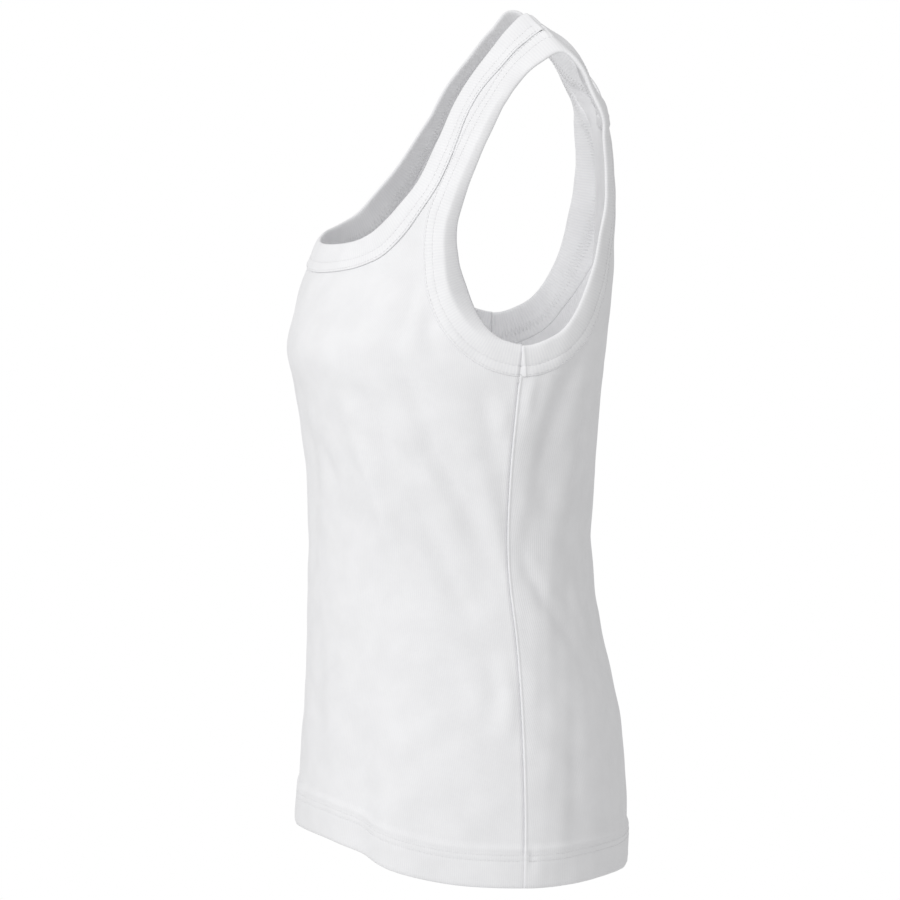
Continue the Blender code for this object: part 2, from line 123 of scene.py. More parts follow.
# Folds: the panel, the places that each one runs through (share is negative on the wearer's
# right), its width and depth in millimetres. A negative depth is a ridge. FOLDS holds the large
# ones, which are in the garment's form, and CREASES the finer ones on the cloth.
FOLDS = [
    ("front", ((-0.12, -225), (-0.56, -80)), 34, -10),
    ("back", ((-0.58, 6), (-0.50, -26), (-0.37, -54), (-0.20, -71), (-0.05, -78)), 17, -12),
    ("back", ((-0.45, -62), (-0.42, -150), (-0.46, -260)), 22, -17),
    ("back", ((-0.80, 15), (-0.74, -60), (-0.64, -130)), 22, -7),
    ("back", ((-0.66, -110), (-0.72, -250)), 20, -4),
    ("back", ((-0.60, 14), (-0.56, -18)), 14, -3),
    ("back", ((0.57, -10), (0.54, -46)), 14, -3.5),
    ("back", ((0.62, 10), (0.54, -24)), 15, 2),
    ("back", ((0.49, -42), (0.43, -64), (0.33, -80)), 13, 5.5),
    ("back", ((0.48, -70), (0.46, -135)), 16, 1.5),
    ("front", ((0.52, -225), (0.99, -440)), 20, 2.5),
    ("front", ((0.36, -310), (0.72, -520)), 26, 1.5),
    ("front", ((0.46, -470), (0.50, -690)), 14, 5.5),
    ("front", ((0.62, -490), (0.63, -690)), 17, -3),
    ("back", ((0.36, -240), (0.95, -385)), 19, 3),
    ("back", ((0.58, -290), (0.84, -450)), 20, -2.5),
    ("front", ((-0.58, -240), (-0.96, -415)), 22, 3.2),
    ("front", ((-0.24, -330), (-0.66, -500)), 26, 2.4),
    ("front", ((-0.38, -480), (-0.43, -660)), 18, 3.4),
    ("back", ((-0.42, -265), (-0.92, -400)), 21, 2.8),
    ("back", ((-0.30, -430), (-0.42, -680)), 22, 3),
]
CREASES = [
    ("front", ((0.42, -262), (0.46, -294), (0.53, -330), (0.59, -362), (0.67, -400)), 9, -3.6),
    ("front", ((0.60, -272), (0.73, -313), (0.80, -340), (0.85, -372)), 8, -2.2),
    ("front", ((0.58, -225), (0.66, -250), (0.73, -282)), 8, 2.4),
    ("front", ((0.80, -285), (0.91, -314), (0.97, -358), (0.99, -395)), 7, -2.1),
    ("front", ((0.95, -262), (0.97, -277), (0.98, -292)), 6, -1.4),
    ("front", ((0.61, -160), (0.64, -200), (0.63, -232)), 7, 2.7),
    ("front", ((0.68, -190), (0.73, -222), (0.76, -244)), 6, 2.2),
    ("front", ((0.47, -255), (0.57, -290), (0.61, -325)), 7, 2.1),
    ("front", ((0.66, -235), (0.71, -274), (0.75, -303), (0.87, -341), (0.98, -400)), 8, 3.4),
    ("front", ((0.89, -252), (0.93, -286), (0.96, -318)), 6, 2),
    ("front", ((0.20, -292), (0.31, -324), (0.38, -362)), 8, 1.8),
    ("front", ((0.57, -305), (0.72, -354), (0.82, -394), (0.91, -450)), 8, 2.8),
    ("front", ((0.55, -412), (0.64, -448), (0.73, -485)), 14, -2),
    ("front", ((0.77, -445), (0.82, -466), (0.86, -490)), 8, 1.7),
    ("front", ((0.90, -436), (0.93, -472), (0.87, -505)), 7, 2),
    ("front", ((0.95, -445), (0.97, -475), (0.96, -505)), 6, -1.7),
    ("front", ((0.41, -478), (0.43, -515), (0.44, -560)), 8, 1.8),
    ("front", ((0.52, -545), (0.53, -600)), 8, -1.8),
    ("front", ((0.28, -205), (0.05, -228), (-0.26, -208)), 14, 2.2),
    ("front", ((0.10, -250), (0.16, -330), (0.12, -420)), 13, 2.1),
    ("front", ((-0.06, -300), (-0.10, -400), (-0.04, -520)), 16, 2.2),
    ("front", ((0.22, -430), (0.20, -560)), 12, 1.8),
    ("front", ((-0.60, -165), (-0.63, -205), (-0.62, -230)), 7, 2.5),
    ("front", ((-0.65, -240), (-0.74, -300), (-0.90, -352)), 8, 3.3),
    ("front", ((-0.44, -285), (-0.55, -340), (-0.68, -402)), 10, -2.8),
    ("front", ((-0.84, -280), (-0.94, -330), (-0.98, -380)), 7, -2.1),
    ("front", ((-0.55, -300), (-0.74, -370), (-0.86, -440)), 8, 2.5),
    ("front", ((-0.58, -415), (-0.66, -455), (-0.72, -490)), 13, -2),
    ("front", ((-0.86, -430), (-0.92, -475), (-0.90, -515)), 8, 1.8),
    ("front", ((-0.54, -480), (-0.50, -570)), 9, 2),
    ("back", ((0.63, -228), (0.70, -259), (0.74, -278), (0.78, -300), (0.84, -342)), 17, 7.5),
    ("back", ((0.93, -243), (0.94, -262), (0.93, -282)), 6, -1.5),
    ("back", ((0.54, -262), (0.59, -305), (0.65, -350)), 11, -2),
    ("back", ((0.48, -250), (0.52, -318), (0.63, -380)), 9, 2.5),
    ("back", ((0.97, -366), (0.79, -409), (0.67, -428), (0.52, -455)), 8, 2.7),
    ("back", ((0.60, -400), (0.47, -430), (0.40, -448)), 7, -2.1),
    ("back", ((0.44, -400), (0.30, -436), (0.38, -475)), 8, 2.4),
    ("back", ((0.48, -392), (0.05, -374), (-0.36, -388)), 14, 1.4),
    ("back", ((0.36, -425), (0.02, -412), (-0.44, -424)), 14, 1.2),
    ("back", ((0.12, -140), (0.20, -230), (0.16, -330)), 16, 2.7),
    ("back", ((-0.10, -180), (-0.16, -290), (-0.08, -360)), 17, 2.8),
    ("back", ((0.02, -440), (0.06, -520), (0.02, -600)), 14, 2.4),
    ("back", ((-0.69, -245), (-0.79, -270), (-0.86, -318)), 9, 3.8),
    ("back", ((-0.58, -270), (-0.66, -310), (-0.73, -350)), 9, -2.7),
    ("back", ((-0.97, -372), (-0.78, -412), (-0.55, -450)), 8, 2.5),
    ("back", ((-0.58, -455), (-0.62, -540), (-0.60, -600)), 12, 2),
    ("back", ((0.68, -470), (0.72, -540), (0.70, -600)), 12, 2),
]
# Unevenness of worn knit, as waves over the cloth: length in millimetres, heading in degrees.
WAVES = ((23, 12), (29, 71), (34, 128), (41, 40), (52, 100), (64, 155))
WAVE_HEIGHT = 0.11          # millimetres, each
WAVE_SHIFT = 1.7            # radians by which each wave starts later than the one before
WAVES_FULL = -60.0          # level below which the waves have their full height
HALF_GIRTH = 215.0          # millimetres of cloth from the centre line to the side line
FOLD_FADE, CREASE_FADE = 0.10, 0.03         # share beside the side seam over which they die away
OVER_SHOULDER = -60.0       # a fold that comes above this level goes on down the other side
RIGHT_DROOP = 5.0           # millimetres that the right strap sits lower than the left one
DROOP_FROM = -130.0         # level above which it does
DROOP_SHARE = 0.4           # and share of the way to the side line by which it does so fully
SHARE_STEP, LEVEL_STEP = 0.002, 0.5         # to each side of a place, where a slope is taken


def smooth_curve(xs, ys):
    """Smooth curve through knots, each knot's slope taken from its two neighbours."""
    xs, ys = np.array(xs, float), np.array(ys, float)
    slopes = np.gradient(ys, xs, axis=0)

    def at(x):
        x = np.asarray(x, float)
        i = np.clip(np.searchsorted(xs, x) - 1, 0, len(xs) - 2)
        span = xs[i + 1] - xs[i]
        t = (x - xs[i]) / span
        if ys.ndim == 2:
            t, span = t[..., None], span[..., None]
        from_start = (1 + 2 * t) * ys[i] + t * span * slopes[i]
        from_end = (3 - 2 * t) * ys[i + 1] + (t - 1) * span * slopes[i + 1]
        return (1 - t) ** 2 * from_start + t * t * from_end
    return at


def ramp(x):
    """Soft step from 0 to 1."""
    x = np.clip(x, 0.0, 1.0)
    return x * x * (3 - 2 * x)


def rows_of(side):
    """One side's rows as a curve over level, with one more row past the shoulder."""
    past = FORM_ROWS["back" if side == "front" else "front"][-2]
    table = np.array(FORM_ROWS[side] + ((-past[0],) + past[1:],), float)
    return smooth_curve(table[:, 0], table[:, 1:])


FORM = {side: rows_of(side) for side in FORM_ROWS}
hem_level = smooth_curve(*zip(*HEM_LINE))


def form(side, share, level):
    """Points of the smooth form in millimetres, on the wearer's left."""
    share = np.asarray(share, float)
    row = FORM[side](level)
    centre = np.stack((0 * row[..., 0], row[..., 0], row[..., 1]), -1)
    outer = row[..., 2:5]
    middle = (centre + outer) / 2
    box_corner = np.stack((row[..., 2], row[..., 0], middle[..., 2]), -1)
    corner = middle + row[..., 5:6] * (box_corner - middle)
    near_centre = centre + row[..., 6:7] * (corner - centre)
    near_side = outer + row[..., 7:8] * (corner - outer)
    share = share[..., None]
    rest = 1 - share
    return (rest ** 3 * centre + 3 * rest ** 2 * share * near_centre
            + 3 * rest * share ** 2 * near_side + share ** 3 * outer)


def slopes(side, share, level, surface=form):
    """How the points of a surface move with share and with level."""
    along = surface(side, share + SHARE_STEP, level) - surface(side, share - SHARE_STEP, level)
    up = surface(side, share, level + LEVEL_STEP) - surface(side, share, level - LEVEL_STEP)
    return along / (2 * SHARE_STEP), up / (2 * LEVEL_STEP)


def unit(v):
    return v / np.linalg.norm(v, axis=-1, keepdims=True)


def outward(side, share, level, surface=form):
    """Unit normals of a surface, pointing out of the garment."""
    along, up = slopes(side, share, level, surface)
    return unit(np.cross(along, up) if side == "front" else np.cross(up, along))


def near_path(spot, path):
    """How far spots are from a path of knots, and the fraction of it that each lies beside."""
    lengths = np.linalg.norm(np.diff(path, axis=0), axis=1)
    best, beside, before = np.full(spot.shape[:-1], np.inf), np.zeros(spot.shape[:-1]), 0.0
    for start, end, length in zip(path[:-1], path[1:], lengths):
        run = (end - start) / length
        gone = np.clip((spot - start) @ run, 0, length)
        off = np.linalg.norm(spot - start - gone[..., None] * run, axis=-1)
        beside = np.where(off < best, (before + gone) / lengths.sum(), beside)
        best = np.minimum(off, best)
        before += length
    return best, beside


def relief(side, share, level):
    """How far folds, creases and unevenness push the cloth out, in millimetres.

    A fold that runs over the shoulder is seen from the other side with its levels negated.
    """
    share, level = np.broadcast_arrays(share, level)
    to_seam = 1 - np.abs(share)
    out = np.zeros(share.shape)
    for folds, fade in ((FOLDS, FOLD_FADE), (CREASES, CREASE_FADE)):
        for panel_side, path, width, depth in folds:
            if panel_side != side and max(place[1] for place in path) < OVER_SHOULDER:
                continue
            spot = np.stack((share * HALF_GIRTH, level if panel_side == side else -level), -1)
            off, along = near_path(spot, np.array(path, float) * (HALF_GIRTH, 1))
            out -= (depth * np.sin(math.pi * along) * np.exp(-(off / width) ** 2)
                    * ramp(to_seam / fade))
    for number, (length, heading) in enumerate(WAVES):
        turn = math.radians(heading)
        run = share * HALF_GIRTH * math.cos(turn) + level * math.sin(turn)
        out += (WAVE_HEIGHT * np.sin(2 * math.pi * run / length + WAVE_SHIFT * number)
                * ramp(to_seam / FOLD_FADE) * ramp(level / WAVES_FULL))
    return out


def cloth(side, share, level, hand, lift=0.0):
    """Points of the cloth in metres, on the left (hand 1) or the right (hand -1), lifted by
    millimetres square to its folds."""
    def folded(side, share, level):
        out = relief(side, hand * share, level)
        return form(side, share, level) + out[..., None] * outward(side, share, level)

    share, level, lift = np.broadcast_arrays(share, level, lift)
    point = folded(side, share, level)
    if np.any(lift):
        point += lift[..., None] * outward(side, share, level, folded)
    if hand == -1:
        point[..., 2] -= RIGHT_DROOP * ramp(1 - level / DROOP_FROM) * ramp(share / DROOP_SHARE)
    return point * (hand * MM, MM, MM)


def into_cloth(side, share, level, turn, inset, moves=4):
    """Places moved from an opening's edge into the cloth by millimetres, in a few moves.

    They move square to the edge, but along the cross rows of the form on a strap.
    """
    run = unit(np.gradient(form(side, share, level), axis=0))
    strap = np.clip((level - STRAP_FROM) / (STRAP_FULL - STRAP_FROM), 0, 1)[:, None]
    for _ in range(moves):
        along, up = slopes(side, share, level)
        square = turn * np.cross(outward(side, share, level), run)
        row = unit(along) * np.sign((along * square).sum(-1, keepdims=True))
        move = unit(square + strap * (row - square)) * (inset / moves)
        aa, au, uu = (along * along).sum(-1), (along * up).sum(-1), (up * up).sum(-1)
        am, um = (along * move).sum(-1), (up * move).sum(-1)
        area = aa * uu - au * au
        share = share + (am * uu - um * au) / area
        level = level + (um * aa - am * au) / area
    return share, level


# The front edges of the armholes roll in: by how much at each level, in millimetres, and over
# what width from the fold.
ROLL = smooth_curve((-240, -226, -210, -192, -172, -150, -115, -75, -50, -30, 10),
                    (0, 1.0, 5.0, 8.5, 6.5, 5.0, 3.2, 3.0, 1.5, 0, 0))
ROLL_WIDTH = 4.6
ROLL_DEEP = 1.8             # millimetres that the cloth turns under for each that it rolls in
ROLL_SOFT = 0.015           # how softly the roll runs out, as the square of a share of its width
WIDER = 0.16                # share by which bindings widen on the shoulder, where two meet
WIDER_FROM, WIDER_OVER = -32.0, 30.0        # level from which they do, and over how much
BINDING = 21.5              # millimetres that a binding covers outside
# Its inner leaf reaches further, but only below these levels, and no further from this much
# above them, because two bindings lie side by side on a strap.
LEAF_TO, LEAF_OVER = {"front": -165.0, "back": -85.0}, 30.0
EDGE_STATIONS = 400         # for measuring along the edge of an opening


def roll_in(name, side, inset, level):
    """Millimetres that a binding rolls past its line, near its fold, as stretched knit does."""
    if (name, side) != ("armhole", "front"):
        return np.zeros(np.broadcast(inset, level).shape)
    to_turn = 1 - inset / ROLL_WIDTH
    return ROLL(level) * (to_turn + np.sqrt(to_turn ** 2 + ROLL_SOFT)) / 2


def opening(name, side, inset, fractions):
    """Places up the edge of an opening, moved into the cloth by an inset in millimetres."""
    turn, knots = EDGES[name, side]
    along = smooth_curve(np.linspace(0, 1, len(knots)), knots)
    share, level = along(np.linspace(0, 1, EDGE_STATIONS)).T
    legs = np.linalg.norm(np.diff(form(side, share, level), axis=0), axis=1)
    length = np.concatenate(([0], np.cumsum(legs)))
    at = np.asarray(fractions) * length[-1]
    share, level = np.interp(at, length, share), np.interp(at, length, level)
    beyond = np.clip(inset - BINDING, 0, None) * ramp((level - LEAF_TO[side]) / LEAF_OVER)
    reach = (inset - beyond) * (1 + WIDER * ramp((level - WIDER_FROM) / WIDER_OVER))
    reach = reach - roll_in(name, side, inset, level)
    share, level = into_cloth(side, share, level, turn, reach[:, None])
    share[0], level[-1] = knots[0][0], 0.0
    return share, level


HEM_STITCHES = (19.0, 23.0)     # millimetres from the lower edge to its two rows of stitches
STITCH_DIP = (0.25, 0.8)        # depth and half width of the groove along each, in millimetres
TURN_UP_SWELL = (0.5, 26.6, 1.8)    # rise, height and half width of the swelling above them
TURN_UP_TO, TURN_UP_OVER = 31.0, 5.0    # height where the turn-up ends, and over how much
EDGE_ROUND, EDGE_DIP = 1.4, 0.5     # height of the lower edge's rounding, and its depth
# The side seam's ridge on each panel, as its rise, distance from the seam and half width. The
# allowances are pressed to the back and lift it. Then the half width of the valley, and its depth.
SEAM_RIDGE = {"front": (0.2, 2.6, 1.2), "back": (0.6, 1.55, 0.85)}
SEAM_VALLEY, SEAM_DEPTH = {"front": 0.8, "back": 0.45}, 1.8
# The turn-up covers the seam but for this share, below this height, and over how much.
SEAM_IN_HEM, HEM_COVER, COVER_OVER = 0.25, 22.0, 8.0
# Its stitches pull the back in beside the seam: depth, then place and half width, up and along.
SEAM_PINCH = (1.1, (21.0, 6.0), (7.5, 3.0))
# Rows of points over the hem, by height, and over the side seam, by distance, in millimetres.
HEM_ROWS = (0, 0.6, 1.4, 3, 6, 9.5, 13, 16, 17.6, 18.4, 19, 19.6, 20.4, 21.6, 22.4, 23, 23.6, 24.4,
            25.4, 26.6, 28, 29.6, 31.4, 33.4, 36, 39)
SEAM_COLUMNS = (0, 0.3, 0.6, 0.95, 1.35, 1.8, 2.4, 3.2, 4.4, 6, 9)


def bump(x, middle, width):
    """Soft hump, 1 high."""
    return np.exp(-((x - middle) / width) ** 2)


def hem_swell(height):
    """How far the turn-up stands out at a height above its edge, in millimetres: it is flat
    where it is double, drawn in a little by its two rows of stitches, and swells above them."""
    depth, reach = STITCH_DIP
    rows = sum(bump(height, row, reach) for row in HEM_STITCHES)
    rise, middle, width = TURN_UP_SWELL
    double = ramp((TURN_UP_TO - height) / TURN_UP_OVER)
    return (double + rise * bump(height, middle, width) - depth * rows
            - EDGE_DIP * ramp(1 - height / EDGE_ROUND))


def seam_swell(side, distance, height):
    """The same beside the side seam, which shows less in the hem."""
    rise, middle, width = SEAM_RIDGE[side]
    swell = rise * bump(distance, middle, width) - SEAM_DEPTH * bump(distance, 0, SEAM_VALLEY[side])
    return swell * (SEAM_IN_HEM + (1 - SEAM_IN_HEM) * ramp((height - HEM_COVER) / COVER_OVER))


def turn_of(side, share, level):
    """Degrees round the body."""
    places = form(side, share, level)
    return np.degrees(np.arctan2(places[..., 0], BODY_AXIS_Y - places[..., 1]))


ROW_SAG, SAG_SHARE = 14.0, 0.12     # how far the rows of points where the openings start hang
                                    # in their middle, and over what share of all the rows
STRAIGHT_BY = 0.25                  # share of the rows over which they leave the hem's curve
ABOVE_HEM = 100.0                   # stands for any height above the hem's own rows


def panel_rows(side, low_rows, high_rows, columns):
    """Places over half a panel, from the hem up to the shoulder seam, as two grids, and how far
    its hem and side seam swell there.

    Rows start on the centre line, then on the neck's edge. They end on the side seam, then on
    the edge of the armhole.
    """
    rows = low_rows + high_rows
    neck_rows = high_rows - (low_rows // 4 if side == "front" else low_rows // 2)
    ends = []
    for name, share, count in (("neck", 0.0, neck_rows), ("armhole", 1.0, high_rows)):
        cut = opening(name, side, UNDER_BAND, np.linspace(0, 1, count))
        hem = hem_level(90 if share else {"front": 0, "back": 180}[side])
        graded = hem + np.array(HEM_ROWS)
        straight = np.linspace(graded[-1], cut[1][0], rows - count - len(graded) + 2)[1:-1]
        below = np.concatenate((graded, straight))
        ends.append((np.concatenate((np.full(len(below), share), cut[0])),
                     np.concatenate((below, cut[1]))))
    (share_in, level_in), (share_out, level_out) = [
        [column[:, None] for column in end] for end in ends]
    fine = 1 - np.array(SEAM_COLUMNS[::-1]) / HALF_GIRTH
    t = np.concatenate((np.linspace(0, fine[0], columns + 1)[:-1], fine))
    number = np.arange(rows)[:, None]
    sag = ROW_SAG * bump(number, low_rows, SAG_SHARE * rows)
    share = share_in + t * (share_out - share_in)
    level = level_in + t * (level_out - level_in) - 4 * sag * t * (1 - t)
    chord = level[0, 0] + t * (level[0, -1] - level[0, 0])
    fade = np.clip(1 - (number - len(HEM_ROWS)) / (STRAIGHT_BY * rows), 0, 1)
    level = level + fade * (hem_level(turn_of(side, share, level)) - chord)
    height = np.where(number < len(HEM_ROWS), np.resize(HEM_ROWS, rows)[:, None], ABOVE_HEM)
    distance = (1 - t) * HALF_GIRTH
    swell = hem_swell(height) + seam_swell(side, distance, height) * (share_out == 1)
    if side == "back":
        depth, upward, sideways = SEAM_PINCH
        swell = swell - depth * bump(height, *upward) * bump(distance, *sideways)
    return share, level, swell


def across(side, share, level):
    """Millimetres of cloth from the centre line to each place, along its level, read from a
    table of the form's own rows."""
    shares, levels = np.linspace(0, 1, 60), np.linspace(-640, 10, 80)
    points = form(side, shares[None, :], levels[:, None])
    legs = np.linalg.norm(np.diff(points, axis=1), axis=-1)
    table = np.concatenate((np.zeros((len(levels), 1)), np.cumsum(legs, axis=1)), axis=1)

    def cell(value, marks):
        """The mark below a value, never the last one, and the fraction of the way to the next."""
        at = np.minimum(np.interp(value, marks, np.arange(len(marks))), len(marks) - 1.001)
        return at.astype(int), at % 1

    low, up = cell(level, levels)
    left, right = cell(share, shares)
    return ((1 - up) * ((1 - right) * table[low, left] + right * table[low, left + 1])
            + up * ((1 - right) * table[low + 1, left] + right * table[low + 1, left + 1]))


def new_piece(name, points, faces, spots, node_name, material):
    """A sheet of cloth on its solid: its mesh, the place of each point in the cut as a UV map in
    metres, and its material. It hides its solid's part and hangs from the body's root."""
    mesh = bpy.data.meshes.new(name)
    mesh.from_pydata(points, [], faces)
    cut = mesh.uv_layers.new(name="cut")
    corners = np.zeros(len(mesh.loops), int)
    mesh.loops.foreach_get("vertex_index", corners)
    cut.uv.foreach_set("vector", (spots[corners] * MM).ravel())
    mesh.update()
    mesh.shade_smooth()
    mesh.materials.append(material)
    obj = bpy.data.objects.new(name, mesh)
    bpy.context.scene.collection.objects.link(obj)
    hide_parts(node_name)
    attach(obj, "root")
    return obj


def thicken(obj, millimetres, group="", least=1.0):
    """Give a sheet its wall, half on each side, and thinner outside a group of its points."""
    for other in bpy.context.selected_objects:
        other.select_set(False)
    obj.select_set(True)
    bpy.context.view_layer.objects.active = obj
    wall = obj.modifiers.new("wall", "SOLIDIFY")
    wall.thickness = millimetres * MM
    wall.offset = 0
    wall.vertex_group = group
    wall.thickness_vertex_group = least
    bpy.ops.object.modifier_apply(modifier=wall.name)


EDGE_THICK = 0.7            # share of its thickness that the hem has at its lower edge


def panel(side, low_rows, high_rows, columns, material):
    """Front or back panel over both halves of the body, which share the centre line."""
    share, level, swell = panel_rows(side, low_rows, high_rows, columns)
    points, spots, faces = [], [], []
    for hand in (1, -1):
        half = cloth(side, share, level, hand, swell)
        cut = np.stack((hand * across(side, share, level), level), -1)
        index = np.arange(share.size).reshape(share.shape) + len(points)
        if hand == -1:
            on_centre = share[:, 0] == 0
            index[on_centre, 0] = first[on_centre, 0]
        first = index
        points += half.reshape(-1, 3).tolist()
        spots += cut.reshape(-1, 2).tolist()
        quads = np.stack((index[:-1, :-1], index[:-1, 1:], index[1:, 1:], index[1:, :-1]), -1)
        quads = quads.reshape(-1, 4)
        faces += (quads if (hand == 1) == (side == "front") else quads[:, ::-1]).tolist()
    obj = new_piece(side + "_panel", points, faces, np.array(spots), side, material)
    double = obj.vertex_groups.new(name="double")
    for row, height in enumerate(HEM_ROWS):
        if height <= HEM_DOUBLE:
            thick = EDGE_THICK + (1 - EDGE_THICK) * float(ramp(height / EDGE_ROUND))
            for half in (0, share.size):
                start = half + row * share.shape[1]
                double.add(range(start, start + share.shape[1]), thick, "REPLACE")
    # The right half's own points on the centre line are left without a face.
    sheet = bmesh.new()
    sheet.from_mesh(obj.data)
    bmesh.ops.delete(sheet, geom=[v for v in sheet.verts if not v.link_faces], context="VERTS")
    sheet.to_mesh(obj.data)
    sheet.free()
    thicken(obj, HEM_CLOTH, "double", CLOTH / HEM_CLOTH)
    widths = np.diff(np.abs(np.array(spots)[:share.size, 0]).reshape(share.shape), axis=1)
    heights = np.diff(level, axis=0)
    return obj, 2 * float((widths[:-1] * heights[:, :-1]).sum()) * MM * MM


def linear(code):
    """Linear colour of an sRGB hex code."""
    c = np.array([int(code[i:i + 2], 16) / 255 for i in (0, 2, 4)])
    return (*np.where(c <= 0.04045, c / 12.92, ((c + 0.055) / 1.055) ** 2.4), 1.0)


def node(tree, kind, settings=(), links=()):
    """Add a node, with settings for it or for its inputs, and links into its inputs."""
    made = tree.nodes.new(kind)
    for key, value in dict(settings).items():
        if isinstance(key, str) and hasattr(made, key):
            setattr(made, key, value)
        else:
            made.inputs[key].default_value = value
    for key, socket in dict(links).items():
        tree.links.new(socket, made.inputs[key])
    return made


KNIT_SURFACE = {"Roughness": 0.92, "Sheen Weight": 0.12, "Sheen Roughness": 0.6,
                "Specular IOR Level": 0.2}
FUZZ = 0.1                  # height of the yarn's fuzz, as a share of a rib's


def rib_knit(name, pitch, groove, light, dark):
    """Combed cotton rib knit, bleached white. Rows of loops stand up as fine ribs, bumped, and the
    grooves between them take the darker colour as painted shade; the yarn's fuzz makes it fully
    matt."""
    material = bpy.data.materials.new(name)
    material.use_nodes = True
    tree = material.node_tree
    shader = tree.nodes["Principled BSDF"]
    for socket, value in KNIT_SURFACE.items():
        shader.inputs[socket].default_value = value
    cut = node(tree, "ShaderNodeUVMap", {"uv_map": "cut"})
    split = node(tree, "ShaderNodeSeparateXYZ", {}, {0: cut.outputs[0]})
    turns = node(tree, "ShaderNodeMath", {"operation": "MULTIPLY", 1: 2 * math.pi / (pitch * MM)},
                 {0: split.outputs["X"]})
    wave = node(tree, "ShaderNodeMath", {"operation": "COSINE"}, {0: turns.outputs[0]})
    rib = node(tree, "ShaderNodeMapRange", {"From Min": -1.0, "From Max": 1.0},
               {0: wave.outputs[0]})
    fuzz = node(tree, "ShaderNodeTexNoise", {"Scale": 700.0, "Detail": 2.0}, {0: cut.outputs[0]})
    height = node(tree, "ShaderNodeMath", {"operation": "MULTIPLY_ADD", 1: FUZZ},
                  {0: fuzz.outputs[0], 2: rib.outputs[0]})
    bump_map = node(tree, "ShaderNodeBump", {"Strength": 0.4, "Distance": groove * MM},
                    {"Height": height.outputs[0]})
    # Painted shade: the grooves between the ribs get the darker colour, the rib tops the lighter
    # one.
    ribs = node(tree, "ShaderNodeMix", {"data_type": "RGBA", 6: linear(dark), 7: linear(light)},
                {0: rib.outputs[0]})
    # Knit is never quite even: the yarn lies closer in some patches the size of a coin.
    patches = node(tree, "ShaderNodeTexNoise", {"Scale": 45.0, "Detail": 3.0}, {0: cut.outputs[0]})
    tone = node(tree, "ShaderNodeMapRange", {"From Min": 0.35, "From Max": 0.65, "To Min": 0.965},
                {0: patches.outputs[0]})
    colour = node(tree, "ShaderNodeMix", {"data_type": "RGBA", "blend_type": "MULTIPLY", 0: 1.0},
                  {6: ribs.outputs[2], 7: tone.outputs[0]})
    tree.links.new(colour.outputs[2], shader.inputs["Base Color"])
    tree.links.new(bump_map.outputs[0], shader.inputs["Normal"])
    return material


PANEL_GRID = (130, 90, 66)  # rows of points below the openings and beside them, and columns
# The second colour of each knit is painted shade for the grooves between its ribs.
body_knit = rib_knit("white_cotton_body_rib", 1.5, 0.11, "F8F8F9", "F4F4F6")
front, front_area = panel("front", *PANEL_GRID, body_knit)

# ---------------------------------------------------------------------------------------------
# Back panel. The same knit and turn-up, cut higher at the neck and narrower between the armholes.
# ---------------------------------------------------------------------------------------------
back, back_area = panel("back", *PANEL_GRID, body_knit)

# ---------------------------------------------------------------------------------------------
# Neck band. A strip of the same knit cut across its ribs, folded over the raw edge and stitched
# down, so that its ribs run across the band. Its ends meet in a seam on the left shoulder.
# ---------------------------------------------------------------------------------------------
# Middle of the folded strip seen on end: inset from the fold and height off the panel, in mm.
BAND_PROFILE = ((21.5, 0.9), (20.9, 1.15), (20.0, 1.25), (18.0, 1.3), (15.8, 1.3), (14.7, 1.15),
                (14.0, 0.85), (13.3, 1.15), (12.0, 1.4), (9.0, 1.55), (7.0, 1.55), (5.8, 1.53),
                (4.9, 1.5), (4.1, 1.47), (3.0, 1.4), (2.0, 1.25), (1.2, 1.0), (0.5, 0.6),
                (0.2, 0.0), (0.5, -0.6), (1.3, -1.05), (3.0, -1.3), (6.0, -1.35), (10.0, -1.3),
                (14.0, -1.2), (18.0, -1.15), (21.0, -1.05), (23.5, -0.9), (25.0, -0.55),
                (26.2, 0.0))
LEAF = 0.8                  # millimetres, one layer of the binding
BAND_MIDDLE = 9.0           # inset of the line that a binding's length is measured on
BAND_RIB, RIB_RISE = 2.1, 0.035     # millimetres from rib to rib, and half of a rib's height
# The seam where a binding's ends meet: depth and half width of its valley, then the rise, the
# distance and the half width of the ridge that its allowances make beside it.
JOIN_VALLEY, JOIN_RIDGE = (0.9, 0.7), (0.6, 2.2, 1.2)
# The lump where a binding crosses the shoulder seam: rise, level and half width, then the inset
# from which it grows and over how much.
SHOULDER_LUMP, LUMP_FROM, LUMP_OVER = (0.9, -1.5, 2.4), 9.0, 8.0
ARM_FLAT, FLAT_FROM, FLAT_OVER = 0.35, 19.0, 2.5    # how much lower an armhole's stitched edge is


def band_swell(hole, inset, level):
    """Millimetres that a binding rides up over the shoulder seam, towards its inner edge, and
    that an armhole's binding, which is stretched flatter, lies lower at its stitched edge."""
    flat = ARM_FLAT * ramp((inset - FLAT_FROM) / FLAT_OVER) if hole == "armhole" else 0.0
    rise, middle, width = SHOULDER_LUMP
    return rise * bump(level, middle, width) * ramp((inset - LUMP_FROM) / LUMP_OVER) - flat


def ring_places(ring, insets, counts):
    """Stretches of a ring as (opening, side, hand, share, level), a column for each inset, with
    the millimetres run so far at each station and the whole length."""
    stretches, run = [], 0.0
    for (hole, side, hand, back_to_front), count in zip(ring, counts):
        lines = {inset: opening(hole, side, inset, np.linspace(0, 1, count))
                 for inset in set(insets)}
        share, level = (np.stack([lines[inset][k] for inset in insets], axis=1) for k in (0, 1))
        if back_to_front:
            share, level = share[::-1], level[::-1]
        middle = cloth(side, share[:, :1], level[:, :1], hand)[:, 0] / MM
        legs = np.linalg.norm(np.diff(middle, axis=0), axis=1)
        at = run + np.concatenate(([0], np.cumsum(legs)))
        run = at[-1]
        stretches.append((hole, side, hand, share, level, at))
    return stretches, run


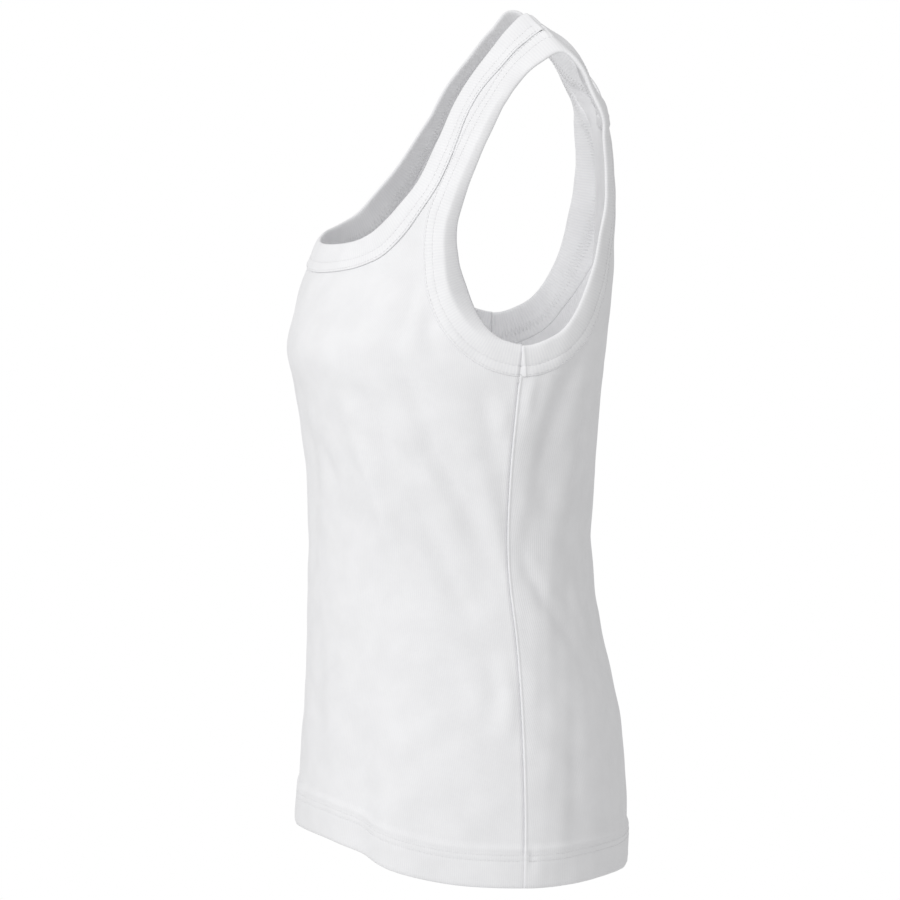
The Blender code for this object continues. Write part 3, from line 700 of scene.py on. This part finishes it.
def band(name, ring, counts, node_name, material):
    """Folded strip swept once round an opening, from its seam to its seam."""
    insets, heights = (np.array(column) for column in zip(*BAND_PROFILE))
    leaf = np.clip(heights / LEAF, -1, 1)
    stretches, length = ring_places(ring, [BAND_MIDDLE, *insets.tolist()], counts)
    ribs = round(length / BAND_RIB)
    points, spots = [], []
    for number, (hole, side, hand, share, level, at) in enumerate(stretches):
        end = len(at) if number == len(stretches) - 1 else -1
        share, level, at = share[:end, 1:], level[:end, 1:], at[:end, None]
        rise = RIB_RISE * np.cos(2 * math.pi * ribs * at / length)
        depth, reach = JOIN_VALLEY
        rise = rise - depth * bump(np.minimum(at, length - at), 0, reach)
        lift, middle, width = JOIN_RIDGE
        rise = rise + lift * bump(length - at, middle, width)
        swell = heights + leaf * rise + band_swell(hole, insets, level) * (leaf > 0)
        lines = cloth(side, share, level, hand, swell)
        lines[..., 0] -= hand * MM * ROLL_DEEP * roll_in(hole, side, insets, level)
        points.append(lines)
        down = np.where(heights > 0, insets, -insets)
        spots.append(np.stack(np.broadcast_arrays(at * ribs * BAND_RIB / length, down), -1))
    points, spots = np.concatenate(points), np.concatenate(spots)
    index = np.arange(points.shape[0] * points.shape[1]).reshape(points.shape[:2])
    quads = np.stack((index[:-1, :-1], index[:-1, 1:], index[1:, 1:], index[1:, :-1]), -1)
    obj = new_piece(name, points.reshape(-1, 3).tolist(), quads.reshape(-1, 4).tolist(),
                    spots.reshape(-1, 2), node_name, material)
    thicken(obj, LEAF)
    return obj, length * MM


# Its darker colour, F6F6F8, is painted shade in the grooves between the band's ribs.
band_knit = rib_knit("white_cotton_band_rib", BAND_RIB, 0.06, "FAFAFB", "F6F6F8")
NECK_RING = (("neck", "back", 1, True), ("neck", "back", -1, False), ("neck", "front", -1, True),
             ("neck", "front", 1, False))
neck_band, neck_length = band("neck_binding", NECK_RING, (240, 240, 340, 340), "neck_band",
                              band_knit)

# ---------------------------------------------------------------------------------------------
# Armhole bands. Strips like the neck's, with their seams under the arms in line with the side
# seams. Their front edges roll in a little.
# ---------------------------------------------------------------------------------------------
ARM_RINGS = {which: (("armhole", "front", hand, False), ("armhole", "back", hand, True))
             for hand, which in ((1, "left"), (-1, "right"))}
for which, ring in ARM_RINGS.items():
    arm_band, arm_length = band(f"armhole_binding_{which}", ring, (480, 480),
                                f"armhole_band_{which}", band_knit)

# ---------------------------------------------------------------------------------------------
# Stitching. Each binding and the hem are held by two needle rows, seen outside as rows of short
# stitches, and by a looper thread that zigzags between them inside.
# ---------------------------------------------------------------------------------------------
STITCH = 2.7                # millimetres from hole to hole
THREAD = 0.19               # millimetres, half of the thread's thickness
DIP = np.array((-0.42, 0.0, 0.14, 0.2, 0.14, 0.0))      # its rise over one stitch
STITCH_POINTS = len(DIP)
BAND_STITCHES = (14.0, 20.0)        # millimetres from the fold of a binding to its two rows
OUTER_LEAF = BAND_PROFILE[11::-1]   # the binding's profile where they lie, in order of inset
INNER_LEAF = -1.1                   # and how deep its inner leaf lies below them
THREAD_OUT, THREAD_IN = 0.05, 0.1   # millimetres that threads stand off the cloth's two faces


def thread(name, lines, node_name, material):
    """Thin tubes along lines, each a pair of arrays: points, and their outward normals."""
    points, faces = [], []
    for line, normal in lines:
        run = unit(np.gradient(line, axis=0))
        aside = np.cross(run, normal)
        for spoke in range(4):
            turn = math.pi * (0.5 * spoke + 0.25)
            points.append(line + THREAD * MM * (math.cos(turn) * normal + math.sin(turn) * aside))
        start = sum(len(part) for part in points[:-4])
        index = start + np.arange(4)[:, None] * len(line) + np.arange(len(line))
        index = np.concatenate((index, index[:1]))
        quads = np.stack((index[:-1, :-1], index[1:, :-1], index[1:, 1:], index[:-1, 1:]), -1)
        faces += quads.reshape(-1, 4).tolist()
        faces += [index[3::-1, 0].tolist(), index[:4, -1].tolist()]
    points = np.concatenate(points)
    return new_piece(name, points.tolist(), faces, points[:, :2] / MM, node_name, material)


def stitched(name, sides, node_name, material):
    """Two needle rows and the looper's zigzag along the places of two rows.

    sides holds, for each stretch: side, hand, then share, level, outer and inner height with a
    column for each row.
    """
    lines = []
    for side, hand, share, level, outer, inner in sides:
        count = len(share)
        face = cloth(side, share, level, hand, outer)
        normal = unit(cloth(side, share, level, hand, outer + 1) - face)
        rise = np.resize(DIP, count)[:, None, None] * MM
        for row in (0, 1):
            lines.append(((face + rise * normal)[:, row], normal[:, row]))
        back_face = cloth(side, share, level, hand, inner)
        half = STITCH_POINTS // 2
        swing = np.abs(np.arange(count) % STITCH_POINTS - half)[:, None] / half
        lines.append((back_face[:, 0] + swing * (back_face[:, 1] - back_face[:, 0]),
                      normal[:, 0]))
    return thread(name, lines, node_name, material)


ROUGH_STATIONS = 40         # enough to count the stitches round an opening


def band_stitches(name, ring, node_name, material):
    """The stitching of one binding."""
    stretches, _ = ring_places(ring, [BAND_MIDDLE], [ROUGH_STATIONS] * len(ring))
    counts = [STITCH_POINTS * round((at[-1] - at[0]) / STITCH) + 1 for *_, at in stretches]
    stretches, _ = ring_places(ring, [BAND_MIDDLE, *BAND_STITCHES], counts)
    outer = np.interp(BAND_STITCHES, *zip(*OUTER_LEAF)) + LEAF / 2 + THREAD_OUT
    sides = []
    for hole, side, hand, share, level, _ in stretches:
        share, level = share[:, 1:], level[:, 1:]
        sides.append((side, hand, share, level,
                      outer + band_swell(hole, np.array(BAND_STITCHES), level),
                      np.full(share.shape, INNER_LEAF - LEAF / 2 - THREAD_IN)))
    return stitched(name, sides, node_name, material)


HEM_RUN = 0.985             # share of the way to the side seam that the hem's rows run
HEM_FULLER = 1.12           # how much longer the cloth is there than HALF_GIRTH
HEM_GUESS = -590.0          # level that the search for the hem's rows starts from


def hem_stitches(name, side, material):
    """The stitching of the turn-up on one panel."""
    sides = []
    for hand in (1, -1):
        stitches = round(HEM_RUN * HALF_GIRTH * HEM_FULLER / STITCH)
        share = np.linspace(0, HEM_RUN, STITCH_POINTS * stitches + 1)
        share = np.repeat(share[:, None], 2, axis=1)
        level = np.full(share.shape, HEM_GUESS)
        for _ in range(3):
            level = hem_level(turn_of(side, share, level)) + np.array(HEM_STITCHES)
        swell = hem_swell(np.array(HEM_STITCHES))
        sides.append((side, hand, share, level, swell + HEM_CLOTH / 2 + THREAD_OUT,
                      np.broadcast_to(swell - HEM_CLOTH / 2 - THREAD_IN, share.shape)))
    return stitched(name, sides, side, material)


spun_thread = bpy.data.materials.new("white_spun_polyester_thread")
spun_thread.use_nodes = True
ply = spun_thread.node_tree
ply_shader = ply.nodes["Principled BSDF"]
ply_shader.inputs["Roughness"].default_value = 0.7
ply_shader.inputs["Specular IOR Level"].default_value = 0.3
# Two plies twisted together: fine light and dark turns along the thread, each about 1 mm.
twist = node(ply, "ShaderNodeTexNoise", {"Scale": 1100.0, "Detail": 1.0},
             {0: node(ply, "ShaderNodeTexCoord").outputs["Object"]})
strand = node(ply, "ShaderNodeMix", {"data_type": "RGBA", 6: linear("E9E9EB"), 7: linear("FAFAFA")},
              {0: twist.outputs[0]})
ply.links.new(strand.outputs[2], ply_shader.inputs["Base Color"])

band_stitches("neck_stitches", NECK_RING, "neck_band", spun_thread)
for which, ring in ARM_RINGS.items():
    band_stitches(f"armhole_stitches_{which}", ring, f"armhole_band_{which}", spun_thread)
for side in ("front", "back"):
    hem_stitches(f"hem_stitches_{side}", side, spun_thread)

# ---------------------------------------------------------------------------------------------
# Room. A plain white floor well below, white all round, two soft lamps at the wearer's front
# left and a weak one overhead.
# ---------------------------------------------------------------------------------------------
FLOOR_Z, FLOOR_HALF = -1.5, 2.0
floor_mesh = bpy.data.meshes.new("studio_floor")
floor_mesh.from_pydata([(x * FLOOR_HALF, y * FLOOR_HALF, FLOOR_Z)
                        for x, y in ((-1, -1), (1, -1), (1, 1), (-1, 1))], [], [(0, 1, 2, 3)])
floor = bpy.data.objects.new("studio_floor", floor_mesh)
bpy.context.scene.collection.objects.link(floor)
paper = bpy.data.materials.new("matt_white_paper")
paper.use_nodes = True
paper.node_tree.nodes["Principled BSDF"].inputs["Base Color"].default_value = linear("F2F2F2")
paper.node_tree.nodes["Principled BSDF"].inputs["Roughness"].default_value = 0.95
floor_mesh.materials.append(paper)

world = bpy.data.worlds.new("white_room")
world.use_nodes = True
bpy.context.scene.world = world
tree = world.node_tree
sky = tree.nodes["Background"]
sky.inputs["Color"].default_value = (1.0, 1.0, 1.0, 1.0)
path = node(tree, "ShaderNodeLightPath")
ROOM_LIGHT, ROOM_SEEN = 0.57, 1.0   # strength of the white room on the cloth, and as it is seen
strength = node(tree, "ShaderNodeMapRange", {"To Min": ROOM_LIGHT, "To Max": ROOM_SEEN},
                {0: path.outputs["Is Camera Ray"]})
tree.links.new(strength.outputs[0], sky.inputs["Strength"])


def soft_light(name, place, target, size, watts):
    """A big square lamp turned to a target."""
    lamp = bpy.data.lights.new(name, "AREA")
    lamp.size = size
    lamp.energy = watts
    obj = bpy.data.objects.new(name, lamp)
    bpy.context.scene.collection.objects.link(obj)
    x, y, z = np.array(target) - place
    obj.location = place
    obj.rotation_euler = (math.atan2(math.hypot(x, y), -z), 0, math.atan2(y, x) - math.pi / 2)
    return obj


CHEST = (0, -0.05, -0.3)
soft_light("key_light", (1.6, -2.6, 1.0), CHEST, 1.4, 24)
soft_light("side_light", (2.7, -1.5, 1.3), CHEST, 1.4, 19)
soft_light("top_light", (0.4, -0.6, 2.9), CHEST, 1.8, 6)

# Camera at the wearer's left, a little above the middle, far back with a long lens.
AZIMUTH, ELEVATION, DISTANCE = math.radians(86.5), math.radians(6.0), 3.5
TARGET = np.array((0, -0.056, -0.316))      # the middle of the view
lens = bpy.data.cameras.new("camera")
lens.sensor_width = 36
lens.lens = 193.2
camera = bpy.data.objects.new("camera", lens)
bpy.context.scene.collection.objects.link(camera)
camera.location = TARGET + DISTANCE * np.array((
    math.sin(AZIMUTH) * math.cos(ELEVATION), -math.cos(AZIMUTH) * math.cos(ELEVATION),
    math.sin(ELEVATION)))
camera.rotation_euler = (math.pi / 2 - ELEVATION, 0, AZIMUTH)
bpy.context.scene.camera = camera
bpy.context.scene.view_settings.view_transform = "Standard"

bpy.context.view_layer.update()
